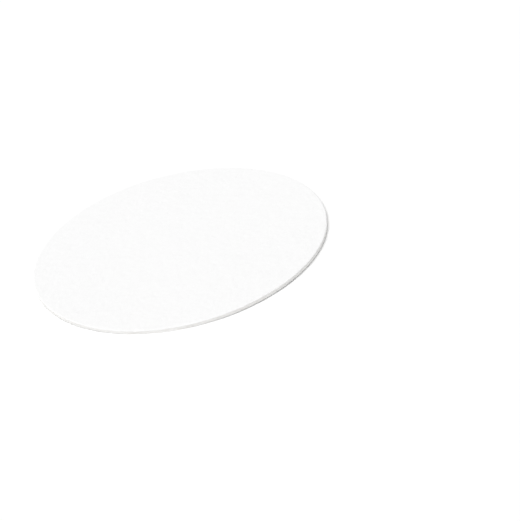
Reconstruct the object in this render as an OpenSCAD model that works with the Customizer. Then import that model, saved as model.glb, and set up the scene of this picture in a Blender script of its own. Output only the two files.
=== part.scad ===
// Filter paper disc, thick grade.
//
// One flat round piece, punched from a felted sheet of bleached cotton
// cellulose. The steel-rule die comes down on the upper (felt) side: it drags
// the surface down into a soft rolled shoulder, shears a straight wall, and
// leaves the lower (wire) side square, with only a trace of a broken corner.
// The disc is laid wire side down on the perforated plate of a funnel or
// filter holder, where its wall stands just inside the holder's wall.
//
// Frame: origin at the centre of the lower face, +Z up through the disc.
// Millimetres.

/* [Disc] */
// Diameter of the punched disc, across its wall
disc_d = 70; // [25:0.5:240]
// Thickness of the dry paper, between its two faces
paper_t = 0.9; // [0.5:0.05:2]

/* [Punched edge] */
// How far in from the wall the die drags the upper face down
shoulder_w = 0.3; // [0.1:0.02:0.6]
// How far the upper face has dropped where it meets the wall
shoulder_h = 0.14; // [0.05:0.01:0.25]
// How far the lower corner is broken, in from the wall
heel_w = 0.06; // [0.02:0.01:0.12]
// How far the lower corner is broken, up from the lower face
heel_h = 0.05; // [0.02:0.01:0.12]

/* [Smoothness] */
// Steps round the disc
round_steps = 240; // [60:12:360]
// Steps round each corner of the section
corner_steps = 8; // [3:1:16]

/* [Hidden] */

disc_r = disc_d / 2;
bleached_cellulose = [0.97, 0.97, 0.955];

// Points on a quarter of an ellipse of half-axes [w, h] about centre, from
// angle a to angle a + 90.
function corner(centre, w, h, a) = [
    for (i = [0 : corner_steps])
        let (turn = a + 90 * i / corner_steps)
            centre + [w * cos(turn), h * sin(turn)]
];

// Half of the disc's section, from the axis out to the wall: the wire side
// below, the broken heel, the sheared wall, the rolled shoulder, the felt
// side above.
function section() = concat(
    [[0, 0]],
    corner([disc_r - heel_w, heel_h], heel_w, heel_h, -90),
    corner([disc_r - shoulder_w, paper_t - shoulder_h], shoulder_w, shoulder_h, 0),
    [[0, paper_t]]
);

// The punched disc, turned from its section. Felted paper has no plies or
// core, so it is a single solid.
module filter_disc() {
    color(bleached_cellulose)
        rotate_extrude($fn = round_steps)
            polygon(section());
}

filter_disc();
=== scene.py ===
import math

import bpy
import numpy as np
from mathutils import Euler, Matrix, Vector


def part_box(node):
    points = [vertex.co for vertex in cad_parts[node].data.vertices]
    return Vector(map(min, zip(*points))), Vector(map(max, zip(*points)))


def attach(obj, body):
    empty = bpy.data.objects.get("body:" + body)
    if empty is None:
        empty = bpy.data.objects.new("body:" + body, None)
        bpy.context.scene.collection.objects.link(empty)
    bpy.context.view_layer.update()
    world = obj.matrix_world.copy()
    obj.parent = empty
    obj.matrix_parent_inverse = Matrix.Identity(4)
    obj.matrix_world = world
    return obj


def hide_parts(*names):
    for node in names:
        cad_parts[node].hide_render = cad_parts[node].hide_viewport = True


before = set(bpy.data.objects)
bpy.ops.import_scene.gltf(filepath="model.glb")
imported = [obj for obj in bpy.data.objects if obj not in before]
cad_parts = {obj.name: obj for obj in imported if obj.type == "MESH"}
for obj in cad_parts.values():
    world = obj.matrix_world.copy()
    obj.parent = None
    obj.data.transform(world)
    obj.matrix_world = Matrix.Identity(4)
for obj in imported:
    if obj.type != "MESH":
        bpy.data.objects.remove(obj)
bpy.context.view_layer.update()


# The filter circle. Cotton linters are felted on a wire into a thick soft sheet, dried, and punched
# by a steel-rule die that rolls the upper edge over and shears the wall below it. The circle lies
# wire side down, with the slight cockle that any dry sheet has. Its form is worked in millimetres.

MM = 0.001
circle_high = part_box("filter_disc")[1]
disc_r = max(circle_high.x, circle_high.y) / MM
paper_t = circle_high.z / MM

shoulder_w = 0.3      # the rolled upper edge, in from the wall
shoulder_h = 0.14     # and down from the upper face
heel_w = 0.06         # the broken lower corner, in from the wall
heel_h = 0.05         # and up from the lower face
brink = paper_t - shoulder_h  # the height where the die stops dragging and begins to shear

UPPER_RINGS = 115     # rings of mesh from the middle of the upper face to its edge, 0.3 mm apart
LOWER_RINGS = 70      # and of the lower, 0.5 mm apart
RING_GROWTH = 6       # steps that each ring of a face has more than the ring inside it
RIM_STEPS = 1800      # steps round the punched rim, about 0.12 mm apart
SHOULDER_ROWS = 5
WALL_ROWS = 9
HEEL_ROWS = 3
FELT, SHEARED, WIRE = range(3)  # the circle's surfaces, in the order of its materials


def corner(inset, height, w, h, start, rows):
    """A rolled corner, a quarter of an ellipse turned from start degrees: (radius, height) rows."""
    turns = [math.radians(start + 90 * i / rows) for i in range(rows + 1)]
    return [(disc_r - inset + w * math.cos(a), height + h * math.sin(a)) for a in turns]


def face_rings(edge_r, height, count, surface):
    """The rings of a face, from its middle to just short of its edge, each as disc_rings gives it."""
    return [(edge_r * k / count, height, RING_GROWTH * k, surface) for k in range(count)]


def disc_rings():
    """The rings of the closed mesh, from the middle of the upper face, out over the rim and back to
    the middle of the lower face: (radius, height, points in the ring, surface that ends there)."""
    shoulder = corner(shoulder_w, brink, shoulder_w, shoulder_h, 0, SHOULDER_ROWS)
    heel = corner(heel_w, heel_h, heel_w, heel_h, -90, HEEL_ROWS)
    wall = [(disc_r, heel_h + (brink - heel_h) * i / (WALL_ROWS + 1)) for i in range(1, WALL_ROWS + 1)]
    rings = face_rings(disc_r - shoulder_w, paper_t, UPPER_RINGS, FELT)
    rings += [(r, z, RIM_STEPS, FELT) for r, z in reversed(shoulder)]
    rings += [(r, z, RIM_STEPS, SHEARED) for r, z in reversed(heel + wall)]
    rings += reversed(face_rings(disc_r - heel_w, 0.0, LOWER_RINGS, WIRE))
    return rings


def zip_rings(a, count_a, b, count_b):
    """Triangles for the band between two rings of any counts, whose points start at a and at b."""
    faces = []
    steps_a, steps_b = [n if n > 1 else 0 for n in (count_a, count_b)]
    i = j = 0
    while i < steps_a or j < steps_b:
        if j < steps_b and (i >= steps_a or (j + 1) * count_a <= (i + 1) * count_b):
            faces.append((a + i % count_a, b + j, b + (j + 1) % count_b))
            j += 1
        else:
            faces.append((a + i, b + j % count_b, a + (i + 1) % count_a))
            i += 1
    return faces


def closed_form(rings):
    """The points, triangles and surface numbers of the mesh that closes over these rings."""
    places, faces, surfaces = [], [], []
    start = 0
    for number, (r, z, count, surface) in enumerate(rings):
        count = max(count, 1)
        turn = 2 * math.pi * np.arange(count) / count
        places.append(np.stack([r * np.cos(turn), r * np.sin(turn), np.full(count, z)], 1))
        if number:
            band = zip_rings(before, count_before, start, count)
            faces += band
            surfaces += [surface] * len(band)
        before, count_before = start, count
        start += count
    return np.concatenate(places), faces, surfaces


# How the dry felt strays from that form. Each wave of the cockle has its number of crests, their
# height at the rim and the bearing of one of them, and together they let the circle lie on three
# low places of its rim. The other heights are an rms.

COCKLE = ((1, 0.06, -65), (2, 0.035, -20), (3, 0.05, -30), (4, 0.06, 33))
SWELL = 0.015         # the sheet's uneven lift between those crests
RAGGED = 0.012        # how far the layers' ends stand in and out of the wall
FRAYED = 0.006        # and single bunches of fibre
LAYERING = 5          # how many times longer than high the wall's layers are
FRAY_LAYERING = 2     # and its bunches
DRAGGED = 0.022       # how unevenly the die has dragged the brink down
TUFTED = 0.011        # the soft relief of the felt side
SWOLLEN = 0.006       # and its broader swell
PRESSED = 0.006       # the flatter relief of the wire side


def waves(places, seed, shortest, longest, count=120):
    """A random rolling height at each place, even in all directions, with an rms of 1."""
    draw = np.random.default_rng(seed)
    total = np.zeros(len(places))
    for _ in range(count):
        length = shortest * (longest / shortest) ** draw.random()
        heading = draw.normal(size=3)
        heading *= 2 * math.pi / length / np.linalg.norm(heading)
        total += np.cos(places @ heading + draw.random() * 2 * math.pi)
    return total * math.sqrt(2 / count)


def cockle(places):
    """How far the dry sheet lifts: waves of two, three and four crests that grow towards the rim,
    and the slight tilt, a wave of one crest, at which it comes to rest on three low places."""
    out = np.hypot(places[:, 0], places[:, 1]) / disc_r
    bearing = np.arctan2(places[:, 1], places[:, 0])
    lift = SWELL * waves(places * (1, 1, 0), seed=3, shortest=20, longest=45, count=40)
    for crests, height, crest in COCKLE:
        lift += height * out ** crests * np.cos(crests * (bearing - math.radians(crest)))
    return lift


def as_felted(places):
    """The same points as the felt, the die and the drying leave them, with the lowest at 0."""
    # How far, from 0 to 1, each point belongs to the wall, to either face and to the brink.
    out = np.hypot(places[:, 0], places[:, 1])
    inset = np.clip((disc_r - out) / shoulder_w, 0, 1)
    edge = 1 - inset
    upper = (places[:, 2] > brink) * inset
    lower = (places[:, 2] < heel_h) * inset
    near_brink = np.clip(1 - np.abs(places[:, 2] - brink) / shoulder_h, 0, 1) * edge

    layered = places * (1, 1, LAYERING)
    ragged = RAGGED * waves(layered, seed=11, shortest=4, longest=16)
    ragged += RAGGED * waves(layered, seed=12, shortest=0.9, longest=3)
    ragged += FRAYED * waves(places * (1, 1, FRAY_LAYERING), seed=13, shortest=0.35, longest=0.9)

    flat = places * (1, 1, 0)
    dragged = DRAGGED * waves(flat, seed=14, shortest=1.2, longest=6)
    relief = TUFTED * waves(flat, seed=21, shortest=0.9, longest=2.2)
    relief += SWOLLEN * waves(flat, seed=22, shortest=2.2, longest=6)
    wire_relief = PRESSED * waves(flat, seed=23, shortest=1.6, longest=5)

    outward = places[:, :2] / np.maximum(out, 1e-9)[:, None]
    shaped = places.copy()
    shaped[:, :2] += outward * (ragged * edge)[:, None]
    shaped[:, 2] += cockle(places) + relief * upper + wire_relief * lower + dragged * near_brink
    shaped[:, 2] -= shaped[:, 2].min()
    return shaped


def punched_disc():
    """The closed mesh of the circle, in metres, with a material index on each triangle."""
    places, faces, surfaces = closed_form(disc_rings())
    mesh = bpy.data.meshes.new("filter_circle")
    mesh.from_pydata((as_felted(places) * MM).tolist(), [], faces)
    mesh.polygons.foreach_set("material_index", surfaces)
    mesh.polygons.foreach_set("use_smooth", [True] * len(faces))
    mesh.update()
    return mesh


def linear(hex_colour):
    """An sRGB hex colour as linear RGBA."""
    shares = [int(hex_colour[i:i + 2], 16) / 255 for i in (1, 3, 5)]
    return [s / 12.92 if s <= 0.04045 else ((s + 0.055) / 1.055) ** 2.4 for s in shares] + [1]


def add_node(tree, kind, settings=None, inputs=None):
    """Adds a node with its settings; each input takes a value, or another node's output."""
    node = tree.nodes.new(kind)
    for name, value in (settings or {}).items():
        setattr(node, name, value)
    for socket, value in (inputs or {}).items():
        if isinstance(value, bpy.types.NodeSocket):
            tree.links.new(value, node.inputs[socket])
        else:
            node.inputs[socket].default_value = value
    return node


def new_material(name):
    """A material with a tree that holds nothing but its output."""
    material = bpy.data.materials.new(name)
    material.use_nodes = True
    tree = material.node_tree
    tree.nodes.clear()
    return material, tree, add_node(tree, "ShaderNodeOutputMaterial")


def places_in_mm(tree):
    """The circle's own coordinates, in millimetres."""
    metres = add_node(tree, "ShaderNodeTexCoord").outputs["Object"]
    return add_node(tree, "ShaderNodeVectorMath", {"operation": "SCALE"},
                    {0: metres, "Scale": 1 / MM}).outputs[0]


# Felted cotton cellulose, as the wire and the felt leave it: matt, soft and very white, a mat of
# curled fibres that lie every way, one over another, with shallow hollows between the tufts.
# The real fibres are 0.02 to 0.03 mm wide, too fine to show, so they are drawn up to 0.18 mm wide.

# The hollow colour is painted shade: the mat is coloured darker where it lies low, where shade would
# fall.
FELT_HOLLOW_SHADE = "#FBFBFB"
FELT_CREST = "#FFFFFF"
HOLLOW_SHADE_AT = 0.3       # the height of the mat that takes the full painted shade of a hollow
CREST_AT = 1.4        # and the height that takes the colour of a crest
CELLULOSE_IOR = 1.47
LEAST_ROUGH = 0.85
MOST_ROUGH = 0.98

FIBRE_W = 0.18
FIBRE_L = 3.2
FIBRE_LAYERS = 14
FIBRE_CURL = 2.0      # how far a fibre strays from a straight line
FIBRE_CELLS = 2.6     # cells of a layer over that length; a fibre ends where its cell does
CELL_SCATTER = 0.8    # how unevenly the cells are strewn, from 0 to 1
LAYER_TURN = 1.3      # radians from the curl of one layer to that of the next
LAYER_SETTLE = 0.1    # and the further turn where the layers below stand high
LAYER_SHIFT = (7.3, 3.1, 0)  # from the cells of one layer to those of the next
TUFT = 0.7            # across the soft tufts that the fibres bunch into
TUFT_HEIGHT = 1.5     # of a tuft, as a share of a fibre's
WIRE_PITCH = 0.9      # the wire's mark; a real papermaking wire's is 0.4 mm, too fine to show
WIRE_WANDER = 1.5     # how far the wire's mark strays from straight lines
WANDER_RUN = 5.0      # over this length


def fibre_mat(tree, places):
    """The height, 0 to 1, of a mat of curled fibres, in layers that hold one fibre to a cell. The
    cell's random colour gives its fibre's heading, width and length. Each layer is turned a little
    by those below it, which also makes the renderer work the layers out one by one."""
    curl = add_node(tree, "ShaderNodeTexNoise", None,
                    {"Vector": places, "Scale": 1 / FIBRE_L, "Detail": 1.0})
    parts = add_node(tree, "ShaderNodeSeparateColor", None, {0: curl.outputs["Color"]})
    sway = add_node(tree, "ShaderNodeCombineXYZ", None,
                    {0: parts.outputs[0], 1: parts.outputs[1], 2: parts.outputs[2]})
    mat = 0.0
    for layer in range(FIBRE_LAYERS):
        turn = add_node(tree, "ShaderNodeMath", {"operation": "MULTIPLY_ADD"},
                        {0: mat, 1: LAYER_SETTLE, 2: LAYER_TURN * layer})
        stray = add_node(tree, "ShaderNodeVectorRotate", {"rotation_type": "AXIS_ANGLE"},
                         {"Vector": sway.outputs[0], "Axis": (1, 1, 1), "Angle": turn.outputs[0]})
        curled = add_node(tree, "ShaderNodeVectorMath", {"operation": "MULTIPLY_ADD"},
                          {0: stray.outputs[0], 1: (FIBRE_CURL, FIBRE_CURL, 0), 2: places})
        bent = add_node(tree, "ShaderNodeVectorMath", {"operation": "ADD"},
                        {0: curled.outputs[0], 1: [s * layer for s in LAYER_SHIFT]})
        cell = add_node(tree, "ShaderNodeTexVoronoi", {"voronoi_dimensions": "2D"},
                        {"Vector": bent.outputs[0], "Scale": FIBRE_CELLS / FIBRE_L,
                         "Randomness": CELL_SCATTER})
        local = add_node(tree, "ShaderNodeVectorMath", {"operation": "SUBTRACT"},
                         {0: bent.outputs[0], 1: cell.outputs["Position"]})
        lot = add_node(tree, "ShaderNodeSeparateColor", None, {0: cell.outputs["Color"]})
        heading = add_node(tree, "ShaderNodeMath", {"operation": "MULTIPLY"},
                           {0: lot.outputs[0], 1: math.pi})
        turned = add_node(tree, "ShaderNodeVectorRotate", {"rotation_type": "Z_AXIS"},
                          {"Vector": local.outputs[0], "Angle": heading.outputs[0]})
        sized = add_node(tree, "ShaderNodeVectorMath", {"operation": "MULTIPLY"},
                         {0: turned.outputs[0], 1: (2 / FIBRE_L, 2 / FIBRE_W, 0)})
        off = add_node(tree, "ShaderNodeVectorMath", {"operation": "ABSOLUTE"}, {0: sized.outputs[0]})
        far_x = add_node(tree, "ShaderNodeVectorMath", {"operation": "DOT_PRODUCT"},
                         {0: off.outputs[0], 1: (1, 0, 0)})
        far_y = add_node(tree, "ShaderNodeVectorMath", {"operation": "DOT_PRODUCT"},
                         {0: off.outputs[0], 1: (0, 1, 0)})
        along = add_node(tree, "ShaderNodeMapRange", {"interpolation_type": "SMOOTHSTEP"},
                         {"Value": far_x.outputs["Value"], "From Min": lot.outputs[2], "From Max": 0.0,
                          "To Max": lot.outputs[1]})
        across = add_node(tree, "ShaderNodeMapRange", {"interpolation_type": "SMOOTHSTEP"},
                          {"Value": far_y.outputs["Value"], "From Min": lot.outputs[1], "From Max": 0.0})
        strand = add_node(tree, "ShaderNodeMath", {"operation": "MULTIPLY"},
                          {0: along.outputs[0], 1: across.outputs[0]})
        mat = add_node(tree, "ShaderNodeMath", {"operation": "MAXIMUM"},
                       {0: mat, 1: strand.outputs[0]}).outputs[0]
    return mat


def wire_mark(tree, places):
    """The height, -1 to 1, of the dents that a plain-woven wire leaves, one at each crossing."""
    wander = add_node(tree, "ShaderNodeTexNoise", None,
                      {"Vector": places, "Scale": 1 / WANDER_RUN, "Detail": 1.0})
    bent = add_node(tree, "ShaderNodeVectorMath", {"operation": "MULTIPLY_ADD"},
                    {0: wander.outputs["Color"], 1: (WIRE_WANDER, WIRE_WANDER, 0), 2: places})
    turns = add_node(tree, "ShaderNodeVectorMath", {"operation": "SCALE"},
                     {0: bent.outputs[0], "Scale": 2 * math.pi / WIRE_PITCH})
    swing = add_node(tree, "ShaderNodeVectorMath", {"operation": "SINE"}, {0: turns.outputs[0]})
    warp = add_node(tree, "ShaderNodeVectorMath", {"operation": "DOT_PRODUCT"},
                    {0: swing.outputs[0], 1: (1, 0, 0)})
    weft = add_node(tree, "ShaderNodeVectorMath", {"operation": "DOT_PRODUCT"},
                    {0: swing.outputs[0], 1: (0, 1, 0)})
    return add_node(tree, "ShaderNodeMath", {"operation": "MULTIPLY"},
                    {0: warp.outputs["Value"], 1: weft.outputs["Value"]}).outputs[0]


def felted_cellulose(name, relief, marked=0.0):
    """One face of the sheet. Relief is how far its fibres stand up, in millimetres, and marked is
    the depth of the wire's mark in it, as a share of that."""
    material, tree, output = new_material(name)
    places = places_in_mm(tree)
    fibres = fibre_mat(tree, places)
    if marked:
        fibres = add_node(tree, "ShaderNodeMath", {"operation": "MULTIPLY_ADD"},
                          {0: wire_mark(tree, places), 1: marked, 2: fibres}).outputs[0]
    tufts = add_node(tree, "ShaderNodeTexNoise", None,
                     {"Vector": places, "Scale": 1 / TUFT, "Detail": 6.0, "Roughness": 0.65})
    height = add_node(tree, "ShaderNodeMath", {"operation": "MULTIPLY_ADD"},
                      {0: tufts.outputs["Fac"], 1: TUFT_HEIGHT, 2: fibres})
    # Painted shade: the lower the mat, the darker its colour, from the crest's white to the hollow's
    # shade.
    spread = add_node(tree, "ShaderNodeMapRange", None,
                      {"Value": height.outputs[0], "From Min": HOLLOW_SHADE_AT, "From Max": CREST_AT})
    colour = add_node(tree, "ShaderNodeMix", {"data_type": "RGBA"},
                      {0: spread.outputs[0], 6: linear(FELT_HOLLOW_SHADE), 7: linear(FELT_CREST)})
    bump = add_node(tree, "ShaderNodeBump", None,
                    {"Distance": relief * MM, "Height": height.outputs[0]})
    rough = add_node(tree, "ShaderNodeMapRange", None,
                     {"Value": tufts.outputs["Fac"], "To Min": LEAST_ROUGH, "To Max": MOST_ROUGH})
    shader = add_node(tree, "ShaderNodeBsdfPrincipled", None, {
        "Base Color": colour.outputs[2], "Roughness": rough.outputs[0], "IOR": CELLULOSE_IOR,
        "Normal": bump.outputs[0]})
    tree.links.new(shader.outputs[0], output.inputs["Surface"])
    return material


# Sheared cotton cellulose, on the punched wall. The die leaves the edges of the felt's thin layers
# bare: level streaks with crevices between them, speckled with cut fibre ends. The shade that they
# trap is painted into the colour, so the wall looks a little greyer and warmer than the faces, most
# of all in the crevices. Real ends are 0.03 mm, drawn 0.09 mm.

WALL_CREVICE_SHADE = "#F0EEEA"
WALL_BARE = "#FFFFFE"
DARKEST_AT = 0.15     # the height of the wall's relief that takes the full painted shade of a crevice
LIGHTEST_AT = 0.8     # and the height that takes that of a bare edge
WALL_ROUGHNESS = 0.95
WALL_RELIEF = 0.05    # millimetres, for a height of 1
STREAK_RUN = 1.6      # how far a layer's streak runs round the wall
STREAK_THIN = 9       # and how many times longer than thick it is
CREVICE_RUN = 2.0
CREVICE_THIN = 18
CREVICE_FLOOR = 0.33  # the noise is all crevice below this
CREVICE_LIP = 0.46    # and all layer above this
CREVICE_DEPTH = 0.3   # as a share of the wall's relief
FIBRE_END = 0.09      # across a cut end
FIBRE_END_HEIGHT = 0.4  # as a share of the wall's relief


def sheared_cellulose():
    """The bare edges of the layers, with the crevices and the cut ends between them."""
    material, tree, output = new_material("sheared_cellulose")
    places = places_in_mm(tree)
    layered = add_node(tree, "ShaderNodeVectorMath", {"operation": "MULTIPLY"},
                       {0: places, 1: (1, 1, STREAK_THIN)})
    streak = add_node(tree, "ShaderNodeTexNoise", None, {
        "Vector": layered.outputs[0], "Scale": 1 / STREAK_RUN, "Detail": 5.0, "Roughness": 0.6})
    parted = add_node(tree, "ShaderNodeVectorMath", {"operation": "MULTIPLY"},
                      {0: places, 1: (1, 1, CREVICE_THIN)})
    gap = add_node(tree, "ShaderNodeTexNoise", None,
                   {"Vector": parted.outputs[0], "Scale": 1 / CREVICE_RUN, "Detail": 2.0})
    closed = add_node(tree, "ShaderNodeMapRange", {"interpolation_type": "SMOOTHSTEP"},
                      {"Value": gap.outputs["Fac"], "From Min": CREVICE_FLOOR, "From Max": CREVICE_LIP})
    end = add_node(tree, "ShaderNodeTexVoronoi", None,
                   {"Vector": places, "Scale": 1 / FIBRE_END, "Randomness": 1.0})
    speck = add_node(tree, "ShaderNodeMath", {"operation": "MULTIPLY_ADD"},
                     {0: end.outputs["Distance"], 1: -FIBRE_END_HEIGHT, 2: streak.outputs["Fac"]})
    height = add_node(tree, "ShaderNodeMath", {"operation": "MULTIPLY_ADD"},
                      {0: closed.outputs[0], 1: CREVICE_DEPTH, 2: speck.outputs[0]})
    # Painted shade: the lower the wall's relief, the darker and warmer its colour, most in the crevices.
    spread = add_node(tree, "ShaderNodeMapRange", None,
                      {"Value": height.outputs[0], "From Min": DARKEST_AT, "From Max": LIGHTEST_AT})
    colour = add_node(tree, "ShaderNodeMix", {"data_type": "RGBA"},
                      {0: spread.outputs[0], 6: linear(WALL_CREVICE_SHADE), 7: linear(WALL_BARE)})
    bump = add_node(tree, "ShaderNodeBump", None,
                    {"Distance": WALL_RELIEF * MM, "Height": height.outputs[0]})
    shader = add_node(tree, "ShaderNodeBsdfPrincipled", None, {
        "Base Color": colour.outputs[2], "Roughness": WALL_ROUGHNESS, "IOR": CELLULOSE_IOR,
        "Normal": bump.outputs[0]})
    tree.links.new(shader.outputs[0], output.inputs["Surface"])
    return material


disc_mesh = punched_disc()
disc_mesh.materials.append(felted_cellulose("felt_side_cellulose", relief=0.028))
disc_mesh.materials.append(sheared_cellulose())
disc_mesh.materials.append(felted_cellulose("wire_side_cellulose", relief=0.015, marked=0.8))
disc = bpy.data.objects.new("filter_circle", disc_mesh)
bpy.context.scene.collection.objects.link(disc)
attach(disc, "root")
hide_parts("filter_disc")


# The bench top. A plain sheet of matt white laminate, on which the circle lies loose. It runs past
# the edge of any view and takes the circle's shadow, so its white is plain and even, with no grain.

WHITE = "#FFFFFF"
BENCH_HALF = 3.0      # metres
BENCH_LIFT = 0.02     # the share by which the bench shows brighter than it is lit, to look evenly white


def shows_scene(tree):
    """1 for a ray that shows the scene, straight, mirrored or through glass, and 0 for others."""
    ray = add_node(tree, "ShaderNodeLightPath")
    mirrored = add_node(tree, "ShaderNodeMath", {"operation": "MAXIMUM"},
                        {0: ray.outputs["Is Camera Ray"], 1: ray.outputs["Is Glossy Ray"]})
    return add_node(tree, "ShaderNodeMath", {"operation": "MAXIMUM"},
                    {0: mirrored.outputs[0], 1: ray.outputs["Is Transmission Ray"]}).outputs[0]


bench_mesh = bpy.data.meshes.new("bench_top")
bench_mesh.from_pydata([(x * BENCH_HALF, y * BENCH_HALF, 0)
                        for x, y in ((-1, -1), (1, -1), (1, 1), (-1, 1))], [], [(0, 1, 2, 3)])
bench = bpy.data.objects.new("bench_top", bench_mesh)
bpy.context.scene.collection.objects.link(bench)
laminate, tree, output = new_material("matt_white_laminate")
lifted = add_node(tree, "ShaderNodeMath", {"operation": "MULTIPLY_ADD"},
                  {0: shows_scene(tree), 1: BENCH_LIFT, 2: linear(WHITE)[0]})
shader = add_node(tree, "ShaderNodeBsdfDiffuse", None, {"Color": lifted.outputs[0]})
tree.links.new(shader.outputs[0], output.inputs["Surface"])
bench_mesh.materials.append(laminate)


# The light. A broad soft lamp high over the left front, in a plain white room that fills in the
# rest. Together they light a level surface at just 1, so that a level colour renders as written.

LAMP_HEIGHT = 68      # degrees above the bench
LAMP_BEARING = 218    # degrees round from +X, so the lamp stands between -X and the front
LAMP_SPREAD = 50      # degrees across
ROOM = 0.43           # what the room gives a level surface; the lamp gives the rest

lamp = bpy.data.lights.new("key_lamp", "SUN")
lamp.angle = math.radians(LAMP_SPREAD)
lamp.energy = math.pi * (1 - ROOM) / math.sin(math.radians(LAMP_HEIGHT))
key = bpy.data.objects.new("key_lamp", lamp)
key.rotation_euler = Euler((0, math.radians(90 - LAMP_HEIGHT), math.radians(LAMP_BEARING)))
bpy.context.scene.collection.objects.link(key)

world = bpy.data.worlds.new("white_room")
world.use_nodes = True
tree = world.node_tree
tree.nodes.clear()
shown = add_node(tree, "ShaderNodeBackground", None, {"Color": linear(WHITE), "Strength": 1.0})
fill = add_node(tree, "ShaderNodeBackground", None, {"Color": linear(WHITE), "Strength": ROOM})
either = add_node(tree, "ShaderNodeMixShader", None,
                  {0: shows_scene(tree), 1: fill.outputs[0], 2: shown.outputs[0]})
add_node(tree, "ShaderNodeOutputWorld", None, {"Surface": either.outputs[0]})
bpy.context.scene.world = world


# The camera. It stands on the front side and looks down past the circle's near right side, rolled
# a little, so that the circle leans down to the left.

AIM = Vector((17.55, -14.3, 0.0)) * MM  # the point of the bench in the middle of the view
DISTANCE = 326.7 * MM
DOWN = 31.25          # degrees below level
ROLL = -12.65         # degrees
LENS = 100            # millimetres

view = bpy.data.cameras.new("camera")
view.lens = LENS
camera = bpy.data.objects.new("camera", view)
down = math.radians(DOWN)
camera.location = AIM + Vector((0, -math.cos(down), math.sin(down))) * DISTANCE
level = Euler((math.radians(90 - DOWN), 0, 0)).to_matrix()
rolled = Euler((0, 0, math.radians(ROLL))).to_matrix()
camera.rotation_euler = (level @ rolled).to_euler()
bpy.context.scene.collection.objects.link(camera)
bpy.context.scene.camera = camera
bpy.context.scene.view_settings.view_transform = "Standard"
